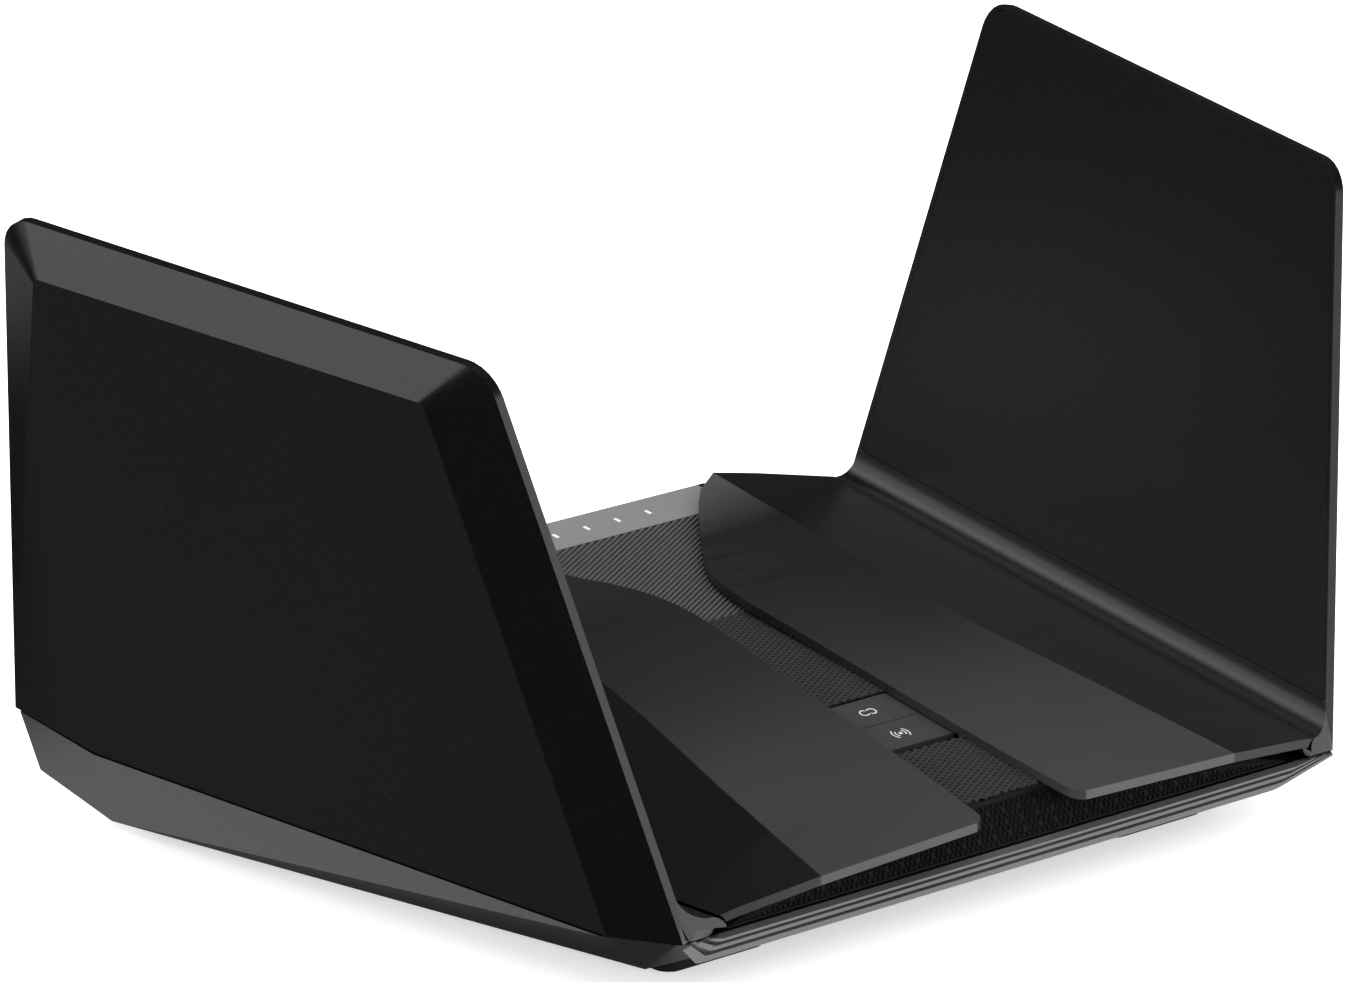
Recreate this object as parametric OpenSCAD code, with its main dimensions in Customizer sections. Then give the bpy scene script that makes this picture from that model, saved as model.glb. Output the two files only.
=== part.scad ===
// Wireless router with two folding antenna wings.
// Millimetres, +Z up. The front, with the stacked ridges, faces -Y.
// The origin is on the table under the middle of the router.
// Everything except the sockets and the rear buttons is symmetric about X = 0.

/* [Hinge lines] */
// Half the distance between the two hinge lines at the front
hinge_front_x = 94; // [90:0.5:98]
// Half the distance between the two hinge lines at the rear
hinge_rear_x = 125.5; // [122:0.5:128]
// Height of the seam between deck and wing at the front
hinge_front_z = 23.5; // [22.5:0.5:24.5]
// Height of the seam between deck and wing at the rear
hinge_rear_z = 34; // [33:0.5:35]

/* [Wings] */
// Height of a wing along its own face
wing_h = 133.4; // [110:0.2:140]
// Outward lean of a raised wing
wing_lean = 11; // [8:0.5:13]
// Thickness of a wing over its flat outer face
wing_t = 10.4; // [9:0.2:13]
// Thickness of the flat edge strip around a wing
wing_edge_t = 2.4; // [1.8:0.1:3]
// Radius of the concave foot between deck and wing
foot_r = 6; // [5:0.5:7]

/* [Body] */
// Distance from the front strip of the decks back to the middle of the router
front_y = 104.6; // [102:0.1:106]
// Gap between the table and the underside
ground_gap = 3; // [2:0.5:4]
// Wall thickness of the bottom tray
wall = 2.2; // [1.8:0.1:2.6]
// Wall thickness of the upper housing
skin = 2; // [1.6:0.1:2.2]
// Thickness of the two decks
deck_t = 2.2; // [1.8:0.1:2.4]

/* [Buttons and lights] */
// Width of a top button
button_w = 24; // [18:1:25]
// Depth of a top button along the slope
button_d = 11.2; // [9:0.2:12]
// Travel of a top button
button_travel = 0.6; // [0.4:0.1:0.8]
// Number of status lights
led_count = 6; // [2:2:8]
// Spacing of the status lights
led_pitch = 9.8; // [8:0.2:11]

/* [Rear sockets] */
// Number of sockets in the network block
lan_count = 4; // [2:1:4]
// Width of one network socket
jack_w = 14.6; // [14:0.2:15]
// Height of a network socket
jack_h = 12.6; // [12:0.2:13]

/* [Hidden] */

$fn = 32;
LEFT = -1;
RIGHT = 1;
EPS = 0.01;
FAR = 60;

// Hinge line: from the front end of the seam to its rear end, on the right side
hinge_front = [hinge_front_x, 2.9 - front_y, hinge_front_z];
hinge_rear = [hinge_rear_x, 102.8, hinge_rear_z];
hinge_run = hinge_rear - hinge_front;
hinge_yaw = atan2(hinge_run.x, hinge_run.y);
hinge_pitch = asin(hinge_run.z / norm(hinge_run));

// Hinge pins and the rounded nose of the wing that turns on them
nose_r = 2.6;
eye_r = 1.7;
pin_r = 1;
pin_fit = 0.06;
pin_l = 20;
eye_l = 8;
eye_at = [36, 176];
arm_t = 1.4;
arm_low = -14;
nose_x = 0.5;
nose_gap = 0.65;
seat_gap = 0.4;

// Wing plane: it starts where the foot fillet ends
deck_slope = 12;
foot_c = [foot_r * sin(deck_slope), foot_r * cos(deck_slope)];
foot_end = foot_c + foot_r * [cos(wing_lean), -sin(wing_lean)];
wing_base_z = -5;
foot_rise = (foot_end.y - wing_base_z) / cos(wing_lean);
wing_base_x = foot_end.x - foot_rise * sin(wing_lean);

// Wing outline along the hinge (first value) and up the wing (second value)
wing_path = [[2.6, 0], [210.4, 0], [191.6, wing_h + 1.4], [44.3, wing_h - 0.6]];
wing_radii = [0, 0, 9, 10];
foot_side = [[1.6, -9], [215, -9], [215, 15], [-3, 15], [-3, -2.4], [1.6, -2.4]];

// Slanting ends of the foot: place at the seam, growth per mm outward, growth per mm up
front_cut = [0.1, 0.57, 0.35];
rear_cut = [207.2, 0.28, -0.13];

facet_path = [[18.2, 1.5], [175.8, 1.5], [176.3, wing_h - 7.6], [57, wing_h - 8.3]];
facet_radii = [0, 0, 2, 3];
cover_path = [[6.6, foot_rise + 1.2], [206.8, foot_rise + 1.2],
              [190.2, wing_h - 0.2], [45.6, wing_h - 2.2]];
cover_radii = [1, 1, 7.6, 8.6];
cover_t = 1.6;
cover_gap = 0.15;
pocket_path = [[14, foot_rise + 5], [199, foot_rise + 5],
               [184, wing_h - 6], [52, wing_h - 6]];
pocket_floor_path = [[25, foot_rise + 5], [169, foot_rise + 5],
                     [169.5, wing_h - 13], [61, wing_h - 12]];
antenna_path = [[62, 30], [164, 30], [164, 112], [72, 112]];
antenna_x = 5.2;
antenna_t = 1;
stake_at = [[70, 36], [158, 36], [158, 106], [78, 106]];

// Channel floor: two slopes that meet behind the buttons
floor_front_y = -93.7;
floor_bend_y = -30;
floor_rear_y = 65.4;
floor_front_z = 28.3;
floor_bend_z = 40.8;
floor_rear_z = 56.8;
front_slope = atan((floor_bend_z - floor_front_z) / (floor_bend_y - floor_front_y));
rear_slope = atan((floor_rear_z - floor_bend_z) / (floor_rear_y - floor_bend_y));

// Deck: heights of its inner edge, its crease and its seam, front to rear
crease_line = [[64.8, -front_y, 27.1], [58.7, -64, 35.5], [52.6, -30, 42.6],
               [48.9, 5, 50.2], [47.4, 35, 56.1], [46, 65, 62.3]];
middle_heights = [29.4, 37, 43.6, 50.2, 54.1, 57.8];
deck_outline = [[14.2, -front_y], [64.8, -front_y], [hinge_front_x - 0.9, 2.4 - front_y],
                [hinge_rear_x - 0.9, 102.4], [46, 59.6], [38.2, 55.2], [33, 50],
                [26, 41.5], [18, 31], [14.5, 26.5], [11.6, 21.5], [9.6, 16.5],
                [8.4, 10], [7.9, 3], [12.1, -80]];
deck_steps = 4;
deck_radii = [4, 0, 0, 0, 0, 4, 20, 25, 25, 20, 20, 20, 20, 20, 60];
peg_at = [[30, -80], [30, -10], [84, -70], [86, 0], [60, 45], [108, 70]];
peg_r = 2;

// Bottom tray outlines: underside, and the shoulder that the wing stands on
under_path = [[91.7, -75], [121.5, 84], [108, 86]];
front_lip = [90.5, -90.9, 10.1];
rear_lip = [128.4, 102.6, 12.5];
front_rim = [90, -98.4, 17.8];
front_corner = [102.2, -98.9, 18];
rear_corner = [134.1, 103.5, 30.2];
shoulder_front = [112.9, -84, 18.6];
shoulder_rear = [136.9, 69.8, 27];
chin_tilt = 180 - atan2(front_rim.z - front_lip.z, front_lip.y - front_rim.y);

// Inside
control_z = -8;
board_z = 12.9;
board_t = 1.6;
board_top = board_z + board_t;
jack_l = 21;
panel_y = 102;
screw_at = [[80, -62], [98, 20], [109, 60]];
board_screw_at = [[58, -66], [86, 10], [62, 62]];
foot_w = 31;
foot_d = 10;
foot_at = [[69.5, -69.8], [92, 74]];
vent_rows = 11;
slot_w = 2;

function unit(v) = v / norm(v);
function mix(a, b, k) = a + (b - a) * k;
function flip(p) = [-p.x, p.y, p.z];

// Points of the arc that rounds the corner b of the path a, b, c
function corner(a, b, c, r, steps = 6) =
    r == 0 ? [b] :
    let (u = unit(a - b), w = unit(c - b), half = acos(u * w) / 2,
         middle = b + unit(u + w) * r / sin(half),
         p = b + u * r / tan(half) - middle, q = b + w * r / tan(half) - middle)
    [for (i = [0:steps]) middle + r * unit(mix(p, q, i / steps))];

// A closed path with every corner rounded to its own radius
function rounded(path, radii) =
    let (n = len(path))
    [for (i = [0:n - 1]) each corner(path[(i + n - 1) % n], path[i], path[(i + 1) % n], radii[i])];

function floor_z(y) = y < floor_bend_y
    ? floor_bend_z + (y - floor_bend_y) * tan(front_slope)
    : floor_bend_z + (y - floor_bend_y) * tan(rear_slope);

// Frame of a hinge line: Y runs rearward along it, X points outward
module on_hinge(side) {
    mirror([side < 0 ? 1 : 0, 0, 0])
        translate(hinge_front)
            rotate([0, 0, -hinge_yaw])
                rotate([hinge_pitch, 0, 0])
                    children();
}

// Frame of a wing: Y runs along the hinge, Z up the wing, X out through it
module on_wing(side) {
    on_hinge(side)
        translate([wing_base_x, 0, wing_base_z])
            rotate([0, wing_lean, 0])
                children();
}

// Frame on the channel floor: Y runs up the slope, Z points out of it
module on_floor(y) {
    translate([0, y, floor_z(y)])
        rotate([y < floor_bend_y ? front_slope : rear_slope, 0, 0])
            children();
}

// The points of a path in the plane of a wing, x0 out from its inner face
function wing_points(x0, path, radii) = [for (p = rounded(path, radii)) [x0, p.x, p.y]];

// A flat sheet standing in the plane of a wing
module wing_sheet(x0, t, path, radii) {
    translate([x0, 0, 0])
        rotate([90, 0, 90])
            linear_extrude(t)
                polygon(rounded(path, radii));
}

module rod(r, l, clear = 0) {
    rotate([-90, 0, 0])
        translate([0, 0, -clear])
            cylinder(r = r, h = l + 2 * clear);
}

// The convex body around a list of points
module hull_of(points) {
    hull()
        polyhedron(points = points, faces = [for (i = [0:len(points) - 3]) [i, i + 1, i + 2]]);
}

module both_sides() {
    children();
    mirror([1, 0, 0])
        children();
}

// Space that a wing sweeps: it is cut from the tray, the housing and the deck.
// grow makes it larger for the inside of the housing.
module wing_space(side, grow = 0) {
    on_hinge(side)
        translate([0, -FAR, 0])
            union() {
                translate([0, 330, 0])
                    rotate([90, 0, 0])
                        linear_extrude(330)
                            polygon([[0 - grow, -nose_r - grow], [0 - grow, FAR], [FAR, FAR],
                                     [FAR, -5.5 - seat_gap - grow],
                                     [8, -5.5 - seat_gap - grow],
                                     [1.2, -2 * nose_r - seat_gap - grow]]);
                translate([nose_x, 0, -nose_r])
                    rod(nose_r + nose_gap + grow, 330);
            }
}

// ---- Body ---------------------------------------------------------------

function tray_points(inset, lift) =
    [for (s = [LEFT, RIGHT]) each [
        for (p = under_path) [s * (p.x - inset), p.y - sign(p.y) * inset, ground_gap + lift],
        [s * (front_lip.x - inset), front_lip.y + inset, front_lip.z + lift],
        [s * (rear_lip.x - inset), rear_lip.y - inset, rear_lip.z + lift],
        [s * (front_corner.x - inset), front_corner.y + inset, front_corner.z],
        [s * (front_rim.x - inset), front_rim.y + inset, front_rim.z],
        [s * (shoulder_front.x - inset), shoulder_front.y, shoulder_front.z],
        [s * (shoulder_rear.x - inset), shoulder_rear.y, shoulder_rear.z],
        [s * (rear_corner.x - inset), rear_corner.y - inset, rear_corner.z]]];

// The room inside the tray, open above
module tray_room(gap) {
    rim = tray_points(wall + gap, wall + gap);
    hull_of(concat(rim, [for (p = rim) [p.x, p.y, FAR + 20]]));
}

module vent_field() {
    for (i = [0:vent_rows - 1])
        for (x = [-52, -18, 16])
            translate([x, -48 + i * 9, ground_gap - 1])
                cube([34 - 6, slot_w, wall + 2]);
}

module bottom_tray() {
    color("#1b1b1c")
        difference() {
            union() {
                difference() {
                    hull_of(tray_points(0, 0));
                    tray_room(0);
                }
                both_sides()
                    for (p = concat(screw_at, board_screw_at))
                        translate([p.x, p.y, ground_gap + wall / 2])
                            cylinder(r = 3.6, h = board_z - ground_gap - wall / 2);
                intersection() {
                    hull_of(tray_points(wall / 2, wall / 2));
                    bracket_posts();
                }
            }
            bracket_holes();
            both_sides()
                for (p = screw_at)
                    translate([p.x, p.y, ground_gap - 1])
                        cylinder(r = 1.6, h = board_z);
            both_sides()
                for (p = board_screw_at)
                    translate([p.x, p.y, board_z - 6])
                        cylinder(r = 1.05, h = board_z);
            both_sides()
                for (p = screw_at)
                    translate([p.x, p.y, ground_gap - 1])
                        cylinder(r = 3, h = 3);
            vent_field();
            both_sides()
                for (p = foot_at)
                    foot_block(p, ground_gap - 1, 1.8, 0.1);
            translate([-28, 58, ground_gap - 1])
                cube([56, 24, 1.6]);
            rear_window(0);
            wing_space(LEFT);
            wing_space(RIGHT);
        }
}

// Window in the rear wall for the socket panel
module rear_window(grow) {
    translate([-104 - grow, panel_y - 5, 13.6 - grow])
        cube([208 + 2 * grow, 10, 15.6 + 2 * grow]);
}

housing_points = [
    for (s = [LEFT, RIGHT]) each [
        [s * 15, floor_front_y, floor_front_z], [s * 15, floor_bend_y, floor_bend_z],
        [s * 15, floor_rear_y, floor_rear_z], [s * 48, floor_rear_y, floor_rear_z],
        [s * 62, -95, 25], [s * 90, -97, 19], [s * 48, floor_bend_y, 36.6],
        [s * 120, 99.6, 28.4], [s * 100, 101, 31.4],
        [s * 88, -98.6, 18.4], [s * 121, 100.2, 26]]];

function shrink(points, d) =
    [for (p = points) [p.x - sign(p.x) * d * 1.3, p.y - sign(p.y + 16) * d * 1.2, p.z - d * 1.1]];

module upper_housing() {
    color("#2a2a2b")
        difference() {
            union() {
                intersection() {
                    hull_of(housing_points);
                    union() {
                        tray_room(0.2);
                        front_ledge();
                    }
                }
                intersection() {
                    tray_room(0.2);
                    both_sides()
                        shoulder_flange();
                }
            }
            difference() {
                hull_of(concat(shrink(housing_points, skin),
                               [for (s = [LEFT, RIGHT], y = [-95.6, 97.8]) [s * 84, y, 10]]));
                wing_space(LEFT, skin);
                wing_space(RIGHT, skin);
                both_sides()
                    for (p = screw_at)
                        translate([p.x, p.y, 0])
                            cylinder(r = 3.2, h = 80);
                on_floor(-54)
                    for (x = [-14.4, 14.4], y = [-13, 12])
                        translate([x, y, control_z + 1.2])
                            cylinder(r = 1.5, h = 20);
            }
            both_sides()
                for (p = screw_at)
                    translate([p.x, p.y, 0])
                        cylinder(r = 1.45, h = 19);
            bracket_slots();
            rear_window(0);
            translate([-104, 80, 10])
                cube([208, 30, 19.2]);
            wing_space(LEFT);
            wing_space(RIGHT);
            button_opening();
            led_recess();
            both_sides()
                for (p = peg_at)
                    translate([p.x, p.y, 10])
                        cylinder(r = peg_r + 0.1, h = 60);
            both_sides()
                deck_patch(1, 2, 0.1);
            channel_slots();
            rear_slots();
        }
}

// Space above the front wall of the tray that the housing may also fill
module front_ledge() {
    translate([-100, -99, 18.3])
        rotate([3.4, 0, 0])
            cube([200, 8, 14]);
}

// Flat rim under the wing that closes the tray from above
module shoulder_flange() {
    on_hinge(RIGHT)
        translate([-6, 8, -5.5 - seat_gap - skin])
            cube([17, 188, skin]);
}

module channel_slots() {
    for (y = [-88:4:-72])
        on_floor(y)
            translate([0, 0, -4])
                rotate([0, 0, 45])
                    cube([15, 1.2, 12], center = true);
    for (y = [-36:4:48])
        on_floor(y)
            translate([0, 0, -4])
                rotate([0, 0, 45])
                    cube([15, 1.2, 12], center = true);
}

module rear_slots() {
    for (x = [-72:8:72])
        translate([x, 84, 43])
            cube([2.4, 20, 20], center = true);
}

module button_opening() {
    on_floor(-54)
        translate([-button_w / 2 - 0.4, -button_d - 2.6, -6])
            cube([button_w + 0.8, 2 * button_d + 3.4, 10]);
}

module led_recess() {
    on_floor(58.9)
        translate([-46.2, -6.7, -2.1])
            cube([92.4, 13.4, 6]);
}

// Frame on the slanting front of the tray: Y runs up along it, Z points out of it
module on_chin() {
    translate([0, front_lip.y, front_lip.z])
        rotate([chin_tilt, 0, 0])
            children();
}

module front_trim() {
    color("#55504f")
        difference() {
            on_chin()
                translate([0, 0, 0.35])
                    union() {
                        trim_band([91.2, 0], [102.1, 11.4], [93.8, 12.9], [89.9, 11.3], 0.5);
                        trim_band([91.2, 0], [102.1, 11.4], [100.7, 12.9], [90.6, 3.5], 1.4);
                        trim_band([90.4, 5.6], [98.9, 12.9], [97.3, 12.9], [90.2, 7.8], 1.4);
                        trim_band([90, 9.7], [95.3, 12.9], [93.8, 12.9], [89.9, 11.3], 1.4);
                    }
            // Room for the feet of the wings
            translate([-110, -100.9, 18.1])
                cube([220, 10, 4]);
        }
}

// One band of the front trim, flat in the middle and turned up at both ends.
// Its right end is given as lower bend, outer end, inner end and upper bend.
module trim_band(low_bend, outer_end, inner_end, high_bend, depth) {
    half = [low_bend, outer_end, inner_end, high_bend];
    linear_extrude(depth)
        polygon(rounded(concat(half, [for (i = [3:-1:0]) [-half[i].x, half[i].y]]),
                        [4, 0, 0, 3, 3, 0, 0, 4]));
}

module led_bar() {
    color("#858585")
        on_floor(58.9)
            difference() {
                translate([-46, -6.5, -2])
                    cube([92, 13, 2]);
                led_marks(4);
            }
}

module led_marks(h) {
    for (i = [0:led_count - 1])
        translate([(i - (led_count - 1) / 2) * led_pitch, 0, -3])
            rotate([0, 0, 4])
                translate([-0.45, -1, 0])
                    cube([0.9, 2, h]);
}

module led_windows() {
    color("white")
        on_floor(58.9)
            led_marks(3);
}

// ---- Decks ---------------------------------------------------------------

// Height rows of one deck, front to rear: middle of the router, crease and seam
deck_rows = [for (i = [0:len(crease_line) - 2], j = [0:deck_steps - 1])
    deck_row(i + j / deck_steps), deck_row(len(crease_line) - 1)];

function deck_row(t) =
    let (c = smooth(crease_line, t), k = t / (len(crease_line) - 1))
    [[0, c.y, smooth(middle_heights, t)], c,
     mix(hinge_front + [0, -front_y - hinge_front.y, 0], hinge_rear, k) + [-0.2, 0, 0.05]];

// Smooth curve through the values of a list, t counting its entries from 0
function smooth(list, t) =
    let (n = len(list), i = min(floor(t), n - 2), k = t - i,
         a = list[i], b = list[i + 1],
         before = i > 0 ? list[i - 1] : 2 * a - b,
         after = i < n - 2 ? list[i + 2] : 2 * b - a)
    a + 0.5 * k * (b - before + k * (2 * before - 5 * a + 4 * b - after
        + k * (3 * (a - b) + after - before)));

module deck_patch(a, b, extra) {
    n = len(deck_rows);
    top = [for (r = deck_rows) each [r[a], r[b]]];
    low = [for (p = top) p - [0, 0, deck_t + extra]];
    polyhedron(
        points = concat(top, low),
        faces = concat(
            [for (i = [0:n - 2]) each [[2 * i, 2 * i + 2, 2 * i + 1], [2 * i + 1, 2 * i + 2, 2 * i + 3]]],
            [for (i = [0:n - 2]) let (o = 2 * n) each [
                [o + 2 * i, o + 2 * i + 1, o + 2 * i + 2],
                [o + 2 * i + 1, o + 2 * i + 3, o + 2 * i + 2]]],
            [for (i = [0:n - 2]) let (o = 2 * n) each [
                [2 * i, o + 2 * i, 2 * i + 2], [2 * i + 2, o + 2 * i, o + 2 * i + 2],
                [2 * i + 1, 2 * i + 3, o + 2 * i + 1], [2 * i + 3, o + 2 * i + 3, o + 2 * i + 1]]],
            [[0, 1, 2 * n], [1, 2 * n + 1, 2 * n],
             [2 * n - 2, 4 * n - 2, 2 * n - 1], [2 * n - 1, 4 * n - 2, 4 * n - 1]]));
}

module deck_right_solid() {
    difference() {
        union() {
            intersection() {
                linear_extrude(80)
                    polygon(rounded(deck_outline, deck_radii));
                union() {
                    deck_patch(0, 1, 0);
                    deck_patch(1, 2, 0);
                }
            }
            intersection() {
                for (p = peg_at)
                    translate([p.x, p.y, housing_top(p) - 4])
                        cylinder(r = peg_r, h = 40);
                union() {
                    deck_patch(0, 1, 12);
                    deck_patch(1, 2, 12);
                }
            }
        }
        wing_space(RIGHT);
    }
}

// Height of the housing skin under a peg, within a millimetre
function housing_top(p) = p.x < 48 ? floor_z(p.y) : mix(floor_z(p.y), 26 + p.y * 0.05, (p.x - 48) / 62);

module deck_right() {
    color("#333334")
        deck_right_solid();
}

module deck_left() {
    color("#333334")
        mirror([1, 0, 0])
            deck_right_solid();
}

// ---- Wings ---------------------------------------------------------------

// Foot of the wing: concave fillet on the inside, flat seat below
module wing_foot() {
    arc = [for (i = [0:10]) let (a = mix(-deck_slope, 90 - wing_lean, i / 10))
        foot_c + foot_r * [sin(a), -cos(a)]];
    intersection() {
        union() {
            translate([0, 220, 0])
                rotate([90, 0, 0])
                    linear_extrude(225)
                        polygon(concat([[0, -nose_r]], arc,
                                       [foot_end + [1.5, -1], [wing_base_x + 1, wing_base_z + 0.3],
                                        [0.6, 0.1 - 2 * nose_r]]));
            translate([nose_x, -5, -nose_r])
                rod(nose_r - 0.05, 225);
        }
        translate([-30, 0, 0])
            rotate([90, 0, 90])
                linear_extrude(60)
                    polygon(foot_side);
        hull_of([for (x = [-10, 20], z = [-12, 20], cut = [front_cut, rear_cut])
            [x, cut[0] + cut[1] * x + cut[2] * z, z]]);
    }
}

module wing_shell(side) {
    color("#141415")
        difference() {
            union() {
                on_wing(side)
                    hull_of(concat(wing_points(0, wing_path, wing_radii),
                                   wing_points(wing_edge_t, wing_path, wing_radii),
                                   wing_points(wing_t, facet_path, facet_radii)));
                on_hinge(side)
                    wing_foot();
            }
            on_wing(side)
                wing_sheet(-5, 5 + cover_t + 0.1,
                           grown(cover_path, cover_gap), cover_radii);
            on_wing(side)
                difference() {
                    hull_of(concat(wing_points(0, pocket_path, [2, 2, 4, 5]),
                                   wing_points(wing_edge_t, pocket_path, [2, 2, 4, 5]),
                                   wing_points(wing_t - 1.8, pocket_floor_path, [2, 2, 2, 2])));
                    for (p = stake_at)
                        translate([0, p.x, p.y])
                            rotate([0, 90, 0]) {
                                translate([0, 0, antenna_x - 1])
                                    cylinder(r = 1.2, h = wing_t);
                                translate([0, 0, antenna_x + antenna_t])
                                    cylinder(r = 2.6, h = wing_t);
                            }
                }
            on_hinge(side)
                for (y = eye_at) {
                    eye_slot(y);
                    translate([nose_x, y - pin_l / 2, -nose_r])
                        rod(pin_r, pin_l);
                }
        }
}

// Slot in the nose for a bracket's eye, open below for the bracket's arm
module eye_slot(y) {
    translate([nose_x, y - eye_l / 2 - 0.3, -nose_r]) {
        rod(eye_r + 0.3, eye_l + 0.6);
        translate([0, eye_l + 0.6, 0])
            rotate([90, 0, 0])
                linear_extrude(eye_l + 0.6)
                    polygon(concat([[0, 0]], [for (a = [142:24:286]) 4.5 * [cos(a), sin(a)]]));
    }
}

// A convex path moved outward by d
function grown(path, d) =
    let (n = len(path), m = mix(path[0], path[2], 0.5))
    [for (p = path) p + d * [sign(p.x - m.x), sign(p.y - m.y)]];

module wing_cover(side) {
    color("#0d0d0e")
        on_wing(side)
            wing_sheet(0, cover_t, cover_path, cover_radii);
}

module antenna_board(side) {
    color("#1c4a2c")
        on_wing(side)
            difference() {
                wing_sheet(antenna_x, antenna_t, antenna_path, [2, 2, 2, 2]);
                for (p = stake_at)
                    translate([antenna_x - 1, p.x, p.y])
                        rotate([0, 90, 0])
                            cylinder(r = 1.25, h = 3);
            }
}

module hinge_pins(side) {
    color("silver")
        on_hinge(side)
            for (y = eye_at)
                translate([nose_x, y - pin_l / 2, -nose_r])
                    rod(pin_r, pin_l);
}

// Coaxial leads from the antenna board down to the foot of the wing
module antenna_leads(side) {
    color("#303030")
        on_wing(side)
            for (i = [0:1])
                translate([4.2, 96 + i * 30, foot_rise + 6])
                    cylinder(r = 0.7, h = 20);
}

module hinge_brackets(side) {
    color("#b8babd")
        on_hinge(side)
            for (y = eye_at)
                translate([nose_x, y - eye_l / 2, 0])
                    difference() {
                        union() {
                            translate([0, 0, -nose_r])
                                rod(eye_r, eye_l);
                            translate([-eye_r, 0, arm_low])
                                cube([arm_t, eye_l, -arm_low - nose_r]);
                            translate([-eye_r - 9, 0, arm_low])
                                cube([9 + arm_t, eye_l, arm_t]);
                        }
                        translate([0, 0, -nose_r])
                            rod(pin_r + pin_fit, eye_l, 1);
                        translate([-eye_r - 5, eye_l / 2, arm_low - 1])
                            cylinder(r = 1.3, h = 4);
                    }
}

// Posts in the tray that carry the brackets, and the holes for their screws
module bracket_posts() {
    both_sides()
        on_hinge(RIGHT)
            for (y = eye_at)
                translate([nose_x - eye_r - 10, y - eye_l / 2 - 1, arm_low - 14])
                    cube([12, eye_l + 2, 14]);
}

module bracket_holes() {
    both_sides()
        on_hinge(RIGHT)
            for (y = eye_at)
                translate([nose_x - eye_r - 5, y, arm_low - 4.8])
                    cylinder(r = 1.25, h = 8);
}

// Openings in the upper housing through which the brackets reach the wings
module bracket_slots() {
    both_sides()
        on_hinge(RIGHT)
            for (y = eye_at)
                translate([nose_x - eye_r - 9.6, y - eye_l / 2 - 0.4, arm_low - 6])
                    cube([11.6, eye_l + 0.8, -arm_low - nose_r + 6]);
}

module bracket_screws() {
    color("silver")
        for (side = [LEFT, RIGHT])
            on_hinge(side)
                for (y = eye_at)
                    translate([nose_x - eye_r - 5, y, arm_low - 4.6]) {
                        cylinder(r = 1.2, h = 6.2);
                        translate([0, 0, 4.6 + arm_t])
                            cylinder(r = 2.4, h = 1.4);
                    }
}

// ---- Buttons --------------------------------------------------------------

module top_button(y) {
    on_floor(-54)
        translate([0, y, 0]) {
            translate([-button_w / 2, 0, -1.8])
                cube([button_w, button_d, 1.8]);
            translate([0, button_d / 2, -5.2])
                cylinder(r = 1.6, h = 4);
        }
}

module wps_button() {
    color("#4a4a4b")
        top_button(0.15);
}

module wifi_button() {
    color("#4a4a4b")
        top_button(-0.15 - button_d);
}

module power_button() {
    color("#3c3c3d")
        translate([-93, panel_y - 6, 20])
            cube([7, 8, 7]);
}

module reset_button() {
    color("#3c3c3d")
        translate([68, panel_y - 5, 20])
            rod(0.9, 5);
}

// Switches on the main board behind the two rear buttons
module rear_switches() {
    color("#3a3b3d") {
        translate([-94, panel_y - 14, board_top])
            cube([9, 6.8, 12.4]);
        translate([65, panel_y - 12, board_top])
            cube([6, 6, 7.4]);
    }
}

module dome_switches() {
    color("#c9b36a")
        on_floor(-54)
            for (y = [0.15, -0.15 - button_d])
                translate([0, y + button_d / 2, control_z + 1.2])
                    cylinder(r = 3, h = 0.9);
}

module control_board() {
    color("#1c4a2c")
        on_floor(-54)
            translate([-17, -16, control_z])
                cube([34, 31, 1.2]);
}

// ---- Electronics and rear sockets ------------------------------------------

module main_board() {
    color("#1c4a2c")
        difference() {
            translate([0, 0, board_z])
                linear_extrude(board_t)
                    polygon([[-76, -72], [76, -72], [92, 40], [98, 96.8], [-98, 96.8], [-92, 40]]);
            both_sides()
                for (p = board_screw_at)
                    translate([p.x, p.y, board_z - 1])
                        cylinder(r = 1.3, h = 4);
        }
}

module rf_shields() {
    color("#c4c6c8") {
        translate([-60, -44, board_top])
            cube([48, 40, 2.4]);
        translate([8, -44, board_top])
            cube([52, 40, 2.4]);
        translate([-38, 2, board_top])
            cube([76, 40, 2.4]);
    }
}

module heat_sink() {
    color("#8d9093") {
        translate([-62, -46, board_top + 2.4])
            cube([124, 90, 2]);
        for (x = [-60:6.2:60])
            translate([x, -46, board_top + 4])
                cube([1.4, 90, 8]);
    }
}

module jack(x, w) {
    translate([x, panel_y - jack_l, board_top])
        difference() {
            cube([w, jack_l, jack_h]);
            translate([(w - 11.8) / 2, jack_l - 14, 1.6])
                cube([11.8, 15, 7.2]);
            translate([(w - 6.2) / 2, jack_l - 14, 1.6])
                cube([6.2, 15, 9.6]);
        }
}

module network_block() {
    color("#1a1a1a")
        for (i = [0:lan_count - 1])
            jack(2 + i * jack_w, jack_w + EPS);
}

module wan_jack() {
    color("#c8a21e")
        jack(-22, jack_w);
}

module usb_sockets() {
    color("#3a6ea8")
        for (x = [-46, -66])
            translate([x, panel_y - 17, board_top]) {
                difference() {
                    cube([14.5, 17, 7.2]);
                    translate([0.6, 2, 0.8])
                        cube([13.3, 16, 5.6]);
                }
                translate([1.6, 1, 3.6])
                    cube([11.3, 14, 2]);
            }
}

module dc_inlet() {
    color("#1a1a1a")
        translate([-84, panel_y - 14, board_top]) {
            difference() {
                cube([9, 14, 11]);
                translate([4.5, 3, 5.5])
                    rod(3, 12);
            }
            translate([4.5, 2, 5.5])
                rod(0.95, 10.5);
        }
}

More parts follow.
